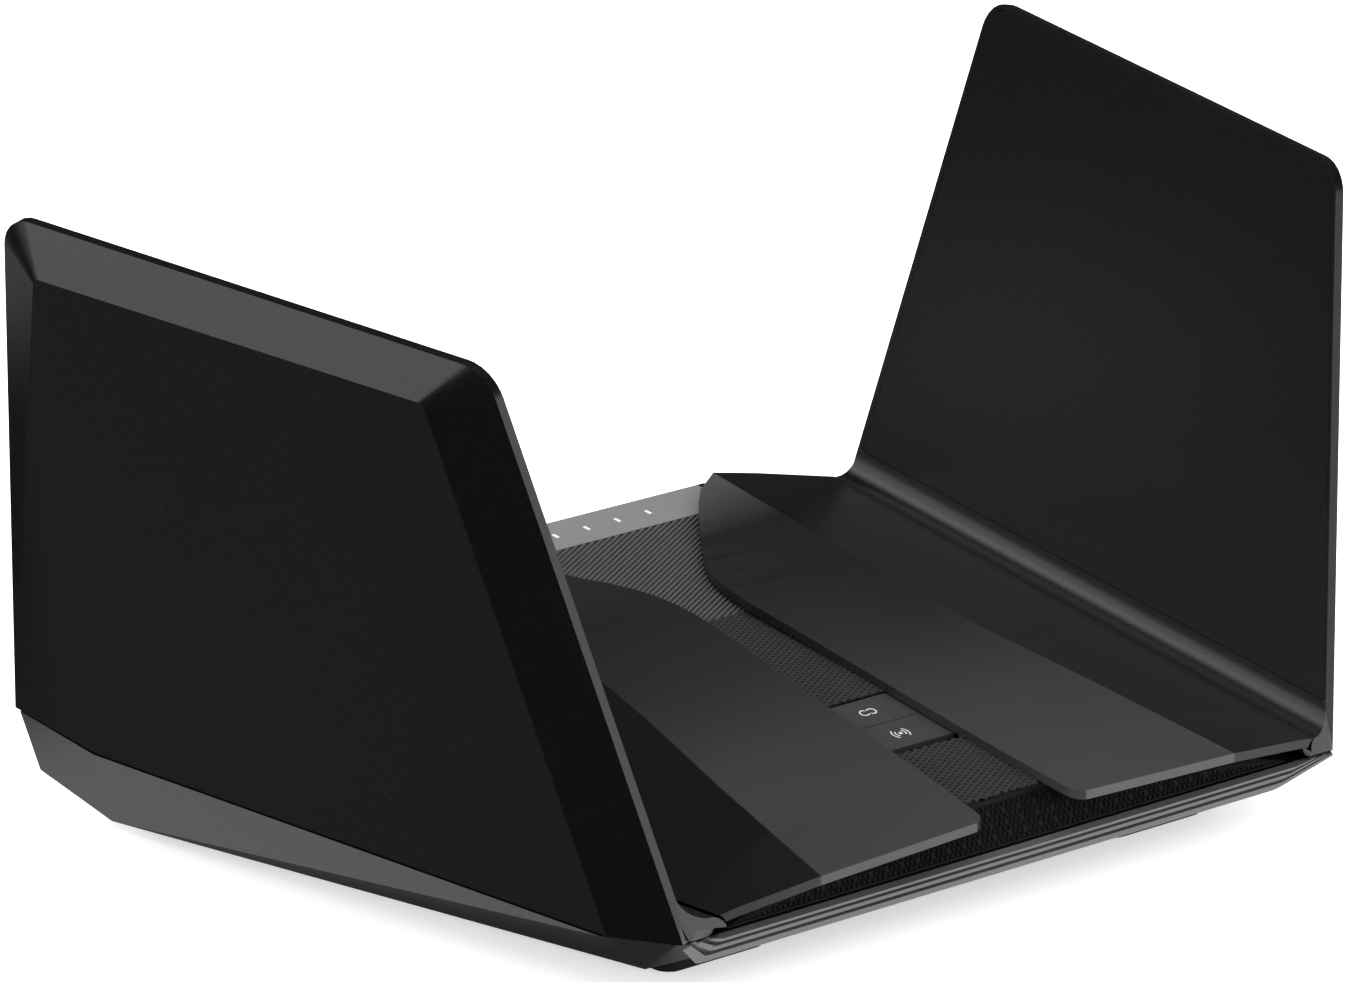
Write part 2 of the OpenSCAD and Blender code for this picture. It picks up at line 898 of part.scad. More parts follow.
module rear_panel() {
    color("#232324")
        difference() {
            translate([-103.8, panel_y, 13.8])
                cube([207.6, 1.5, 15.2]);
            for (i = [0:lan_count - 1])
                translate([2 + i * jack_w + 1.4, panel_y - 2, board_top + 1.6])
                    cube([11.8, 6, 9.6]);
            translate([-22 + 1.4, panel_y - 2, board_top + 1.6])
                cube([11.8, 6, 9.6]);
            for (x = [-46, -66])
                translate([x + 0.6, panel_y - 2, board_top + 0.8])
                    cube([13.3, 6, 5.6]);
            translate([-79.5, panel_y - 2, board_top + 5.5])
                rod(3.2, 6);
            translate([-93.4, panel_y - 2, 19.6])
                cube([7.8, 6, 7.8]);
            translate([68, panel_y - 2, 20])
                rod(1.1, 6);
        }
}

// ---- Small parts ------------------------------------------------------------

module foot_block(p, z, h, grow = 0) {
    translate([p.x, p.y, z])
        linear_extrude(h)
            polygon(rounded([for (c = [[-1, -1], [1, -1], [1, 1], [-1, 1]])
                                [c.x * (foot_w / 2 + grow), c.y * (foot_d / 2 + grow)]],
                            [4, 4, 4, 4]));
}

module feet() {
    color("#101010")
        both_sides()
            for (p = foot_at)
                foot_block(p, 0, ground_gap + 0.8);
}

module label_plate() {
    color("#d8d8d4")
        translate([-27.8, 58.2, ground_gap])
            cube([55.6, 23.6, 0.6]);
}

module case_screws() {
    color("silver")
        both_sides()
            for (p = screw_at)
                translate([p.x, p.y, ground_gap + 0.2]) {
                    cylinder(r = 2.8, h = 1.6);
                    cylinder(r = 1.4, h = 9);
                }
}

module board_screws() {
    color("silver")
        both_sides()
            for (p = board_screw_at)
                translate([p.x, p.y, board_top]) {
                    cylinder(r = 2.4, h = 1.6);
                    translate([0, 0, -6])
                        cylinder(r = 1, h = 7);
                }
}

bottom_tray();
upper_housing();
front_trim();
led_bar();
led_windows();
deck_left();
deck_right();
rear_panel();
feet();
label_plate();
case_screws();
board_screws();
main_board();
rf_shields();
heat_sink();
control_board();
dome_switches();
rear_switches();
network_block();
wan_jack();
usb_sockets();
dc_inlet();
hinge_brackets(LEFT);  // hinge_brackets_left
hinge_brackets(RIGHT);  // hinge_brackets_right
bracket_screws();
wps_button();
wifi_button();
power_button();
reset_button();
wing_shell(LEFT);  // wing_shell_left
wing_shell(RIGHT);  // wing_shell_right
wing_cover(LEFT);  // wing_cover_left
wing_cover(RIGHT);  // wing_cover_right
antenna_board(LEFT);  // antenna_board_left
antenna_board(RIGHT);  // antenna_board_right
hinge_pins(LEFT);  // hinge_pins_left
hinge_pins(RIGHT);  // hinge_pins_right
antenna_leads(LEFT);  // antenna_leads_left
antenna_leads(RIGHT);  // antenna_leads_right
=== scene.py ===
import math
import bpy
import bmesh
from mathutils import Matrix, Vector


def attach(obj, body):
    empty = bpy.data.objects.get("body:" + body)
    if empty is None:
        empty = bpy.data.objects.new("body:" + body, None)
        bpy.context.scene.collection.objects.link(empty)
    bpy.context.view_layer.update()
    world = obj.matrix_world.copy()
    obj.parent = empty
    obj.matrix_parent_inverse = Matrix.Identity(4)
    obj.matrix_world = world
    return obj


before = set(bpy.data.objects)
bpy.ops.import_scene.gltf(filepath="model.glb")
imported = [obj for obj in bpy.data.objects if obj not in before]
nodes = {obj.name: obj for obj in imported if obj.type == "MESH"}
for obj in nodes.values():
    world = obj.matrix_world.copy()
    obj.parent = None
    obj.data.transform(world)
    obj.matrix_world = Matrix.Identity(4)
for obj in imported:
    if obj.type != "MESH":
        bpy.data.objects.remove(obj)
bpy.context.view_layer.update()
MM = 0.001
scene = bpy.context.scene


# ---- Materials ---------------------------------------------------------------

GRAIN_DEPTH = 0.0001        # metres: the depth that a bump strength of 1 stands for
FLECK_SIZE = 0.3            # millimetres


def new_material(name):
    m = bpy.data.materials.new(name)
    m.use_nodes = True
    nt = m.node_tree
    nt.nodes.clear()
    out = nt.nodes.new("ShaderNodeOutputMaterial")
    b = nt.nodes.new("ShaderNodeBsdfPrincipled")
    nt.links.new(b.outputs[0], out.inputs[0])
    return m, nt, b


def add(nt, kind, **values):
    """A shader node. A value goes to the socket of that name, or to the node's own property."""
    n = nt.nodes.new(kind)
    for k, v in values.items():
        if k in n.inputs.keys():
            n.inputs[k].default_value = v
        else:
            setattr(n, k, v)
    return n


def ramp(nt, source, stops):
    """A colour ramp driven by one socket. Stops are (position, colour)."""
    r = nt.nodes.new("ShaderNodeValToRGB")
    e = r.color_ramp.elements
    while len(e) < len(stops):
        e.new(0.5)
    for i, (p, c) in enumerate(stops):
        e[i].position = p
        e[i].color = (*c, 1)
    nt.links.new(source, r.inputs[0])
    return r


def moulded(name, colour, rough=0.4, grain=0.25, grain_size=0.35, spec=0.5, fleck=0.0,
            spread=0.18, fleck_colour=None):
    """Moulded plastic: slow colour change, fine spark-eroded grain and uneven roughness."""
    m, nt, b = new_material(name)
    co = add(nt, "ShaderNodeTexCoord")
    slow = add(nt, "ShaderNodeTexNoise", Scale=18.0, Detail=4.0, Roughness=0.6)
    nt.links.new(co.outputs["Object"], slow.inputs["Vector"])
    fine = add(nt, "ShaderNodeTexNoise", Scale=1000.0 / grain_size * 0.5, Detail=3.0, Roughness=0.65)
    nt.links.new(co.outputs["Object"], fine.inputs["Vector"])
    tone = ramp(nt, slow.outputs["Fac"], [(0.3, [c * (1 - spread) for c in colour]),
                                          (0.7, [min(1, c * (1 + spread)) for c in colour])])
    col = tone.outputs[0]
    if fleck > 0:
        vor = add(nt, "ShaderNodeTexVoronoi", Scale=1000.0 / FLECK_SIZE)
        nt.links.new(co.outputs["Object"], vor.inputs["Vector"])
        sep = add(nt, "ShaderNodeSeparateColor")
        nt.links.new(vor.outputs["Color"], sep.inputs[0])
        pick = ramp(nt, sep.outputs[0], [(0.55, (0, 0, 0)), (1.0, (fleck, fleck, fleck))])
        mix = add(nt, "ShaderNodeMix", data_type="RGBA")
        nt.links.new(pick.outputs[0], mix.inputs[0])
        nt.links.new(col, mix.inputs[6])
        mix.inputs[7].default_value = (*fleck_colour, 1)
        col = mix.outputs[2]
    nt.links.new(col, b.inputs["Base Color"])
    ro = ramp(nt, fine.outputs["Fac"], [(0.3, (rough * 0.82,) * 3), (0.75, (min(1, rough * 1.2),) * 3)])
    nt.links.new(ro.outputs[0], b.inputs["Roughness"])
    bump = add(nt, "ShaderNodeBump", Strength=grain, Distance=GRAIN_DEPTH)
    nt.links.new(fine.outputs["Fac"], bump.inputs["Height"])
    nt.links.new(bump.outputs[0], b.inputs["Normal"])
    b.inputs["Specular IOR Level"].default_value = spec
    return m


def metal(name, colour, rough=0.3):
    """Sheet or bar metal, finely brushed along Z."""
    m, nt, b = new_material(name)
    co = add(nt, "ShaderNodeTexCoord")
    mp = add(nt, "ShaderNodeMapping")
    mp.inputs["Scale"].default_value = (1, 1, 12)
    nt.links.new(co.outputs["Object"], mp.inputs[0])
    n = add(nt, "ShaderNodeTexNoise", Scale=500.0, Detail=4.0)
    nt.links.new(mp.outputs[0], n.inputs["Vector"])
    tone = ramp(nt, n.outputs["Fac"], [(0.3, [c * 0.8 for c in colour]), (0.7, colour)])
    nt.links.new(tone.outputs[0], b.inputs["Base Color"])
    ro = ramp(nt, n.outputs["Fac"], [(0.3, (rough * 0.8,) * 3), (0.7, (rough * 1.3,) * 3)])
    nt.links.new(ro.outputs[0], b.inputs["Roughness"])
    bump = add(nt, "ShaderNodeBump", Strength=0.15, Distance=GRAIN_DEPTH)
    nt.links.new(n.outputs["Fac"], bump.inputs["Height"])
    nt.links.new(bump.outputs[0], b.inputs["Normal"])
    b.inputs["Metallic"].default_value = 1.0
    return m


def laminate(name, trace, mask):
    """Circuit board: lacquer colour with paler tracks under it."""
    m, nt, b = new_material(name)
    co = add(nt, "ShaderNodeTexCoord")
    v = add(nt, "ShaderNodeTexVoronoi", Scale=260.0, feature="DISTANCE_TO_EDGE")
    nt.links.new(co.outputs["Object"], v.inputs["Vector"])
    tone = ramp(nt, v.outputs["Distance"], [(0.02, trace), (0.08, mask)])
    nt.links.new(tone.outputs[0], b.inputs["Base Color"])
    n = add(nt, "ShaderNodeTexNoise", Scale=900.0)
    nt.links.new(co.outputs["Object"], n.inputs["Vector"])
    ro = ramp(nt, n.outputs["Fac"], [(0.3, (0.3,) * 3), (0.7, (0.42,) * 3)])
    nt.links.new(ro.outputs[0], b.inputs["Roughness"])
    return m


def deck_plastic(name):
    """Decks: a smooth satin strip along the channel and a speckled field outside the crease. The strip's own
    grey is lighter than the field, and its run from dark to light between front and rear is a painted
    reflection.

    The curve maps Y to the crease's distance from the middle, and both stay inside 0 to 1 on it.
    """
    m, nt, b = new_material(name)
    co = add(nt, "ShaderNodeTexCoord")
    xyz = add(nt, "ShaderNodeSeparateXYZ")
    nt.links.new(co.outputs["Object"], xyz.inputs[0])
    ax = add(nt, "ShaderNodeMath", operation="ABSOLUTE")
    nt.links.new(xyz.outputs[0], ax.inputs[0])
    crease = add(nt, "ShaderNodeFloatCurve")
    c = crease.mapping.curves[0]
    pts = [((y + HALF_LENGTH) / (2 * HALF_LENGTH), x / CREASE_SPAN) for x, y in CREASE]
    c.points[0].location = pts[0]
    c.points[1].location = pts[-1]
    for p in pts[1:-1]:
        c.points.new(*p)
    for p in c.points:
        p.handle_type = "VECTOR"
    crease.mapping.update()
    along = add(nt, "ShaderNodeMapRange")
    along.inputs["From Min"].default_value = -HALF_LENGTH * MM
    along.inputs["From Max"].default_value = HALF_LENGTH * MM
    nt.links.new(xyz.outputs[1], along.inputs["Value"])
    nt.links.new(along.outputs[0], crease.inputs["Value"])
    cm = add(nt, "ShaderNodeMath", operation="MULTIPLY")
    cm.inputs[1].default_value = CREASE_SPAN * MM
    nt.links.new(crease.outputs[0], cm.inputs[0])
    side = add(nt, "ShaderNodeMath", operation="SUBTRACT")
    nt.links.new(ax.outputs[0], side.inputs[0])
    nt.links.new(cm.outputs[0], side.inputs[1])
    outer = add(nt, "ShaderNodeMapRange")
    outer.inputs["From Min"].default_value = -CREASE_BLEND * MM
    outer.inputs["From Max"].default_value = CREASE_BLEND * MM
    nt.links.new(side.outputs[0], outer.inputs["Value"])
    slow = add(nt, "ShaderNodeTexNoise", Scale=14.0, Detail=3.0)
    nt.links.new(co.outputs["Object"], slow.inputs["Vector"])
    # Painted reflection: the strip's grey darkens and brightens from front to rear
    tone_and_painted_reflection = ramp(nt, along.outputs[0], [(at, (grey,) * 3) for at, grey in STRIP_TONE_AND_PAINTED_REFLECTION])
    vary = add(nt, "ShaderNodeMix", data_type="RGBA", blend_type="MULTIPLY")
    vary.inputs[0].default_value = 0.5
    nt.links.new(tone_and_painted_reflection.outputs[0], vary.inputs[6])
    tint = ramp(nt, slow.outputs["Fac"], [(0.35, (0.75, 0.74, 0.74)), (0.65, (1, 0.985, 0.985))])
    nt.links.new(tint.outputs[0], vary.inputs[7])
    fine = add(nt, "ShaderNodeTexNoise", Scale=3600.0, Detail=2.0, Roughness=0.6)
    nt.links.new(co.outputs["Object"], fine.inputs["Vector"])
    speck = ramp(nt, fine.outputs["Fac"], [(0.35, (0.0004,) * 3), (0.72, (0.0034, 0.0033, 0.0033))])
    col = add(nt, "ShaderNodeMix", data_type="RGBA")
    nt.links.new(outer.outputs[0], col.inputs[0])
    nt.links.new(vary.outputs[2], col.inputs[6])
    nt.links.new(speck.outputs[0], col.inputs[7])
    nt.links.new(col.outputs[2], b.inputs["Base Color"])
    ro = add(nt, "ShaderNodeMapRange")
    ro.inputs["To Min"].default_value = 0.17
    ro.inputs["To Max"].default_value = 0.27
    nt.links.new(outer.outputs[0], ro.inputs["Value"])
    rv = add(nt, "ShaderNodeMath", operation="MULTIPLY_ADD")
    rv.inputs[1].default_value = 0.08
    nt.links.new(fine.outputs["Fac"], rv.inputs[0])
    nt.links.new(ro.outputs[0], rv.inputs[2])
    nt.links.new(rv.outputs[0], b.inputs["Roughness"])
    bs = add(nt, "ShaderNodeMapRange")
    bs.inputs["To Min"].default_value = 0.02
    bs.inputs["To Max"].default_value = 0.11
    nt.links.new(outer.outputs[0], bs.inputs["Value"])
    bump = add(nt, "ShaderNodeBump", Distance=GRAIN_DEPTH)
    nt.links.new(bs.outputs[0], bump.inputs["Strength"])
    nt.links.new(fine.outputs["Fac"], bump.inputs["Height"])
    nt.links.new(bump.outputs[0], b.inputs["Normal"])
    b.inputs["Specular IOR Level"].default_value = 0.5
    return m


HALF_LENGTH = 110           # millimetres of Y on each side of the middle that the crease curve covers
CREASE_SPAN = 100           # millimetres from the middle that the top of the curve stands for
CREASE_BLEND = 0.2          # millimetres over which the two finishes meet

# Grey of the smooth strip from the front of the deck, 0, to the rear, 1: its own lighter tone with a painted
# reflection that darkens and brightens along it
STRIP_TONE_AND_PAINTED_REFLECTION = [(0.03, 0.030), (0.23, 0.024), (0.41, 0.0085), (0.545, 0.0012), (0.66, 0.002), (0.76, 0.052)]

# Crease of the right deck in plan, millimetres: distance from the middle, then Y
CREASE = [(64.8, -104.6), (58.7, -64), (52.6, -30), (48.9, 5), (47.4, 35), (46, 65), (46, 104)]

M = {
    "shell": moulded("shell_plastic", (0.0012, 0.00115, 0.0012), rough=0.30, spec=0.5, fleck=0.5, grain=0.16,
                     grain_size=0.16, fleck_colour=(0.005, 0.005, 0.005)),
    # Pale grey painted highlight for the slanting front end of the wing's foot
    "strip": moulded("foot_end_painted_highlight", (0.050, 0.049, 0.049), rough=0.3, spec=0.5, grain=0.1, grain_size=0.2),
    "cover": moulded("cover_plastic", (0.0006, 0.0006, 0.00065), rough=0.30, spec=0.5, fleck=0.6, grain=0.12,
                     grain_size=0.16, fleck_colour=(0.0035, 0.0035, 0.0035)),
    "tray": moulded("tray_plastic", (0.0030, 0.0029, 0.0029), rough=0.33, spec=0.5, fleck=0.3, grain=0.12,
                    grain_size=0.16, fleck_colour=(0.007, 0.007, 0.007)),
    "deck": deck_plastic("deck_plastic"),
    "housing": moulded("housing_plastic", (0.0014, 0.0014, 0.0014), rough=0.5, spec=0.35, grain_size=0.2),
    "grille": moulded("grille_plastic", (0.066, 0.065, 0.065), rough=0.4, spec=0.5, grain_size=0.2),
    "lattice": moulded("lattice_plastic", (0.026, 0.0255, 0.0255), rough=0.4, spec=0.5, grain_size=0.2),
    "mesh": moulded("mesh_plastic", (0.0022, 0.0021, 0.0021), rough=0.5, spec=0.15, grain_size=0.2),
    "trim": moulded("trim_plastic", (0.045, 0.044, 0.044), rough=0.3, spec=0.6, grain=0.1, grain_size=0.2),
    "bar": moulded("light_bar_plastic", (0.155, 0.155, 0.156), rough=0.42, spec=0.5, spread=0.05,
                   grain=0.1, grain_size=0.2),
    "button": moulded("button_plastic", (0.032, 0.031, 0.032), rough=0.38, spec=0.5, grain=0.1,
                      grain_size=0.2),
    "icon": moulded("icon_print", (0.42, 0.42, 0.43), rough=0.5, grain=0.05),
    "rubber": moulded("foot_rubber", (0.008, 0.008, 0.008), rough=0.8, grain=0.6, spec=0.3),
    "label": moulded("label_film", (0.35, 0.35, 0.34), rough=0.5, spread=0.04, grain=0.05),
    "jack": moulded("jack_plastic", (0.009, 0.009, 0.009), rough=0.45, grain_size=0.2),
    "yellow": moulded("modem_jack_plastic", (0.40, 0.25, 0.012), rough=0.4, grain=0.1),
    "blue": moulded("usb_tongue_plastic", (0.012, 0.07, 0.28), rough=0.4, grain=0.1),
    "steel": metal("zinc_steel", (0.42, 0.42, 0.43), 0.3),
    "tin": metal("tinned_steel", (0.5, 0.5, 0.49), 0.25),
    "gold": metal("contact_gold", (0.7, 0.5, 0.18), 0.25),
    "aluminium": metal("sink_aluminium", (0.5, 0.5, 0.52), 0.35),
    "board": laminate("board_laminate", (0.02, 0.16, 0.06), (0.008, 0.07, 0.028)),
    "dark_board": laminate("key_board_laminate", (0.01, 0.012, 0.011), (0.003, 0.0035, 0.003)),
}

# Rounded edges get a painted highlight: a little paler and smoother than the faces they join. Colour,
# roughness, specular
PAINTED_EDGE_HIGHLIGHT_FINISH = {
    "shell": ((0.0075, 0.0073, 0.0073), 0.22, 0.5),
    "cover": ((0.005, 0.0049, 0.005), 0.26, 0.5),
    "tray": ((0.010, 0.0097, 0.0097), 0.26, 0.5),
    "deck": ((0.016, 0.0156, 0.0156), 0.22, 0.5),
    "trim": ((0.075, 0.073, 0.073), 0.24, 0.6),
    "button": ((0.055, 0.054, 0.054), 0.3, 0.5),
}
PAINTED_EDGE_HIGHLIGHT = {kind: moulded(kind + "_painted_edge_highlight", colour, rough=rough, spec=spec, grain=0.05, grain_size=0.2)
        for kind, (colour, rough, spec) in PAINTED_EDGE_HIGHLIGHT_FINISH.items()}


def lit_window(name):
    """Frosted window with a very weak light behind it."""
    m, nt, b = new_material(name)
    co = add(nt, "ShaderNodeTexCoord")
    n = add(nt, "ShaderNodeTexNoise", Scale=1500.0)
    nt.links.new(co.outputs["Object"], n.inputs["Vector"])
    tone = ramp(nt, n.outputs["Fac"], [(0.3, (0.55, 0.56, 0.58)), (0.7, (0.62, 0.63, 0.65))])
    nt.links.new(tone.outputs[0], b.inputs["Base Color"])
    b.inputs["Roughness"].default_value = 0.35
    b.inputs["Emission Color"].default_value = (0.9, 0.95, 1, 1)
    b.inputs["Emission Strength"].default_value = 0.1
    return m


M["lit"] = lit_window("light_window")

NODE_MATERIAL = {
    "bottom_tray": "tray", "upper_housing": "housing", "front_trim": "trim", "led_bar": "bar",
    "led_windows": "lit",
    "deck_left": "deck", "deck_right": "deck", "rear_panel": "tray", "feet": "rubber", "label_plate": "label",
    "case_screws": "steel", "board_screws": "steel", "main_board": "board", "rf_shields": "tin",
    "heat_sink": "aluminium", "control_board": "dark_board", "dome_switches": "steel",
    "rear_switches": "jack",
    "network_block": "jack", "wan_jack": "yellow", "usb_sockets": "blue", "dc_inlet": "jack",
    "hinge_brackets_left": "steel", "hinge_brackets_right": "steel", "bracket_screws": "steel",
    "wps_button": "button", "wifi_button": "button", "power_button": "button", "reset_button": "button",
    "wing_shell_left": "shell", "wing_shell_right": "shell", "wing_cover_left": "cover",
    "wing_cover_right": "cover", "antenna_board_left": "board", "antenna_board_right": "board",
    "hinge_pins_left": "steel", "hinge_pins_right": "steel",
    "antenna_leads_left": "rubber", "antenna_leads_right": "rubber",
}
# Radius of the rounded edges, millimetres
BEVEL = {
    "wing_shell_left": 0.7, "wing_shell_right": 0.7, "wing_cover_left": 0.25, "wing_cover_right": 0.25,
    "deck_left": 0.22, "deck_right": 0.22, "bottom_tray": 0.6, "front_trim": 0.15, "led_bar": 0.2,
    "wps_button": 0.25, "wifi_button": 0.25, "power_button": 0.5, "feet": 0.5, "rear_panel": 0.2,
    "network_block": 0.2, "wan_jack": 0.2, "usb_sockets": 0.15, "dc_inlet": 0.2, "reset_button": 0.15,
}
CREASE_ANGLE = {"deck": 8, "shell": 13.5}      # degrees: gentler creases than this aren't rounded
OTHER_CREASE_ANGLE = 18
FOOT_END_Y = -0.095         # metres: the foot's front end is in front of this
FOOT_TOP_Z = 0.045          # metres: and below this

for name, obj in nodes.items():
    m = M[NODE_MATERIAL[name]]
    obj.data.materials.clear()
    obj.data.materials.append(m)
    if name in BEVEL:
        for p in obj.data.polygons:
            p.use_smooth = True
        w = obj.modifiers.new("weld", "WELD")
        w.merge_threshold = 0.00001
        bv = obj.modifiers.new("edge_radius", "BEVEL")
        bv.width = BEVEL[name] * MM
        bv.segments = 3
        bv.limit_method = "ANGLE"
        bv.angle_limit = math.radians(CREASE_ANGLE.get(NODE_MATERIAL[name], OTHER_CREASE_ANGLE))
        bv.use_clamp_overlap = True
        # The rounded edges take the paler colour, a painted highlight
        if NODE_MATERIAL[name] in PAINTED_EDGE_HIGHLIGHT:
            obj.data.materials.append(PAINTED_EDGE_HIGHLIGHT[NODE_MATERIAL[name]])
            bv.material = 1
        if NODE_MATERIAL[name] == "shell":
            # The slanting front end of the foot carries the same paler strip as the wing's edge, a painted
            # highlight
            obj.data.materials.append(M["strip"])
            for p in obj.data.polygons:
                if p.center.y < FOOT_END_Y and p.center.z < FOOT_TOP_Z and p.normal.y < -0.35:
                    p.material_index = 2
        wn = obj.modifiers.new("even_normals", "WEIGHTED_NORMAL")
        is_deck = name.startswith("deck")
        wn.weight = 60 if is_deck else 80
        wn.mode = "FACE_AREA_WITH_ANGLE" if is_deck else "FACE_AREA"


# ---- Mesh helpers --------------------------------------------------------------

def make(name, bm, material, body):
    """Turn a bmesh into a piece that rides on a CAD body."""
    me = bpy.data.meshes.new(name)
    bm.normal_update()
    bm.to_mesh(me)
    bm.free()
    o = bpy.data.objects.new(name, me)
    scene.collection.objects.link(o)
    me.materials.append(M[material])
    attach(o, body)


# Channel floor in the middle plane, (y, z) in millimetres
FLOOR = [(-93.7, 28.3), (-30.0, 40.8), (65.4, 56.8)]


def floor_z(y):
    a, b = (FLOOR[0], FLOOR[1]) if y < FLOOR[1][0] else (FLOOR[1], FLOOR[2])
    return a[1] + (b[1] - a[1]) * (y - a[0]) / (b[0] - a[0])


def inner_edge(y):
    """Distance from the middle to the deck's inner edge."""
    pts = [(-104.6, 14.2), (-80, 12.1), (3, 7.9), (14.5, 8.8), (20, 11), (31, 18), (50, 33), (59, 45),
           (70, 46)]
    for (y0, x0), (y1, x1) in zip(pts, pts[1:]):
        if y <= y1:
            return x0 + (x1 - x0) * (y - y0) / (y1 - y0)
    return 46.0


def prism(bm, a, b, w0, w1, z0, z1):
    """A low bar from a to b in plan: width w0 at the foot and w1 at the top, heights above the floor."""
    d = (Vector(b) - Vector(a)).normalized()
    s = Vector((-d.y, d.x))
    vs = []
    for p in (a, b):
        for half, z in ((w0 / 2, z0), (w1 / 2, z1), (-w1 / 2, z1), (-w0 / 2, z0)):
            q = Vector(p) + s * half
            vs.append(bm.verts.new((q.x * MM, q.y * MM, (floor_z(q.y) + z) * MM)))
    n = 4
    for i in range(n):
        j = (i + 1) % n
        bm.faces.new((vs[i], vs[j], vs[n + j], vs[n + i]))
    bm.faces.new(vs[:n][::-1])
    bm.faces.new(vs[n:])


RIB_REACH = 3.0             # how far the bars run in under a deck
RIB_BASE = 0.02             # gap under a bar
RIB_SPAN = 140.0            # half the length of the longest bar tried
RIB_STEP = 0.3              # step along a bar when its ends are found


def rib_field(bm, y0, y1, pitch, angle, width, top, height):
    """Parallel bars laid on the channel floor between the decks."""
    d = Vector((math.cos(angle), math.sin(angle)))
    s = Vector((-d.y, d.x))
    n = int(RIB_SPAN / pitch)
    for k in range(-n, n + 1):
        c = s * (k * pitch)
        inside = []
        run = None
        t = -RIB_SPAN
        while t <= RIB_SPAN:
            p = c + d * t
            ok = y0 <= p.y <= y1 and abs(p.x) <= inner_edge(p.y) + RIB_REACH
            if ok and run is None:
                run = t
            if not ok and run is not None:
                inside.append((run, t - RIB_STEP))
                run = None
            t += RIB_STEP
        for a, b in inside:
            if b - a > 0.8:
                prism(bm, c + d * a, c + d * b, width, top, RIB_BASE, RIB_BASE + height)


RIB_ANGLE = math.radians(27)
CROSS_ANGLE = math.radians(-40)

bm = bmesh.new()
rib_field(bm, 5.0, 51.8, 1.2, RIB_ANGLE, 0.78, 0.5, 0.4)
make("channel_ribs", bm, "grille", "base")

# Crossing bars in front of the buttons and on both sides of the floor's bend behind them
bm = bmesh.new()
for lo, hi in ((-93.0, -67.8), (-42.2, -29.8), (-30.2, 5.2)):
    rib_field(bm, lo, hi, 1.35, RIB_ANGLE, 0.62, 0.44, 0.42)
    rib_field(bm, lo, hi, 1.5, CROSS_ANGLE, 0.7, 0.52, 0.38)
make("channel_lattice", bm, "lattice", "base")


def hole_plate(bm, xs, ws, pitch, r, thick):
    """A sheet of staggered round holes on the front face, between two x and two heights up the face."""
    sides = 10
    row = 0
    w = ws[0] + pitch / 2
    while w < ws[1] - pitch * 0.4:
        x = xs[0] + pitch / 2 + (pitch / 2 if row % 2 else 0)
        while x < xs[1] - pitch * 0.4:
            ring, rim = [], []
            hx, hw = pitch / 2, pitch * 0.433
            for i in range(sides):
                a = 2 * math.pi * (i + 0.5) / sides
                ca, sa = math.cos(a), math.sin(a)
                k = min(hx / max(1e-6, abs(ca)), hw / max(1e-6, abs(sa)))
                p, nrm = front_face(x + r * ca, w + r * sa)
                q, _ = front_face(x + k * ca, w + k * sa)
                ring.append((bm.verts.new(p * MM), bm.verts.new((p - nrm * thick) * MM)))
                rim.append(bm.verts.new(q * MM))
            for i in range(sides):
                j = (i + 1) % sides
                bm.faces.new((rim[i], rim[j], ring[j][0], ring[i][0]))
                bm.faces.new((ring[i][0], ring[j][0], ring[j][1], ring[i][1]))
            x += pitch
        w += pitch * 0.866
        row += 1


FACE_FOOT = (-98.6, 18.4)   # y and z of the foot of the recessed front face
FACE_TOP = [(0, -93.7, 28.3), (15, -93.7, 28.3), (62, -95, 25.0), (90, -97, 19.0)]
MESH_PANEL = 4.8            # width of one strip of the hole plate: three holes
MESH_END = 82               # the plate ends at this distance from the middle
MESH_STAND_OFF = 0.25       # the plate's outside above the face


def front_face(x, w):
    """Point w up the front face at x, with the direction out of the face."""
    ax = abs(x)
    for (x0, y0, z0), (x1, y1, z1) in zip(FACE_TOP, FACE_TOP[1:]):
        if ax <= x1:
            k = (ax - x0) / (x1 - x0)
            ty, tz = y0 + (y1 - y0) * k, z0 + (z1 - z0) * k
            break
    else:
        ty, tz = FACE_TOP[-1][1:]
    low = Vector((x, *FACE_FOOT))
    high = Vector((x, ty, tz))
    run = high - low
    n = Vector((0, -run.z, run.y)).normalized()
    return low + run.normalized() * w + n * MESH_STAND_OFF, n


def face_height(x):
    """Height of the hole plate, which gets lower towards the sides."""
    if x < 15:
        return 10.8
    if x < 62:
        return 10.8 - (x - 15) / 47 * 3.5
    return 7.3 - (x - 62) / 28 * 6.5


bm = bmesh.new()
for side in (-1, 1):
    x = 0.0
    while x < MESH_END:
        a, b = (x, x + MESH_PANEL) if side > 0 else (-x - MESH_PANEL, -x)
        hole_plate(bm, (a, b), (0.2, face_height(x + MESH_PANEL / 2)), 1.6, 0.56, 0.5)
        x += MESH_PANEL
bmesh.ops.remove_doubles(bm, verts=bm.verts, dist=0.00002)
make("front_mesh", bm, "mesh", "base")


# Button marks: plain shapes printed on the two top buttons
SLOPE = math.atan((FLOOR[1][1] - FLOOR[0][1]) / (FLOOR[1][0] - FLOOR[0][0]))
SEAM_Y = -54                # the seam between the two buttons
BUTTON_MIDDLE = 5.8         # from the seam to the middle of a button, up or down the slope


def on_button(x, w, h):
    """Point on the top of the buttons: x across, w up the slope from their seam, h out of the surface."""
    y = SEAM_Y + w * math.cos(SLOPE) - h * math.sin(SLOPE)
    z = floor_z(SEAM_Y) + w * math.sin(SLOPE) + h * math.cos(SLOPE)
    return Vector((x * MM, y * MM, z * MM))


ARC_STEPS = 14
INK_LOW = 0.005
INK_TOP = 0.03


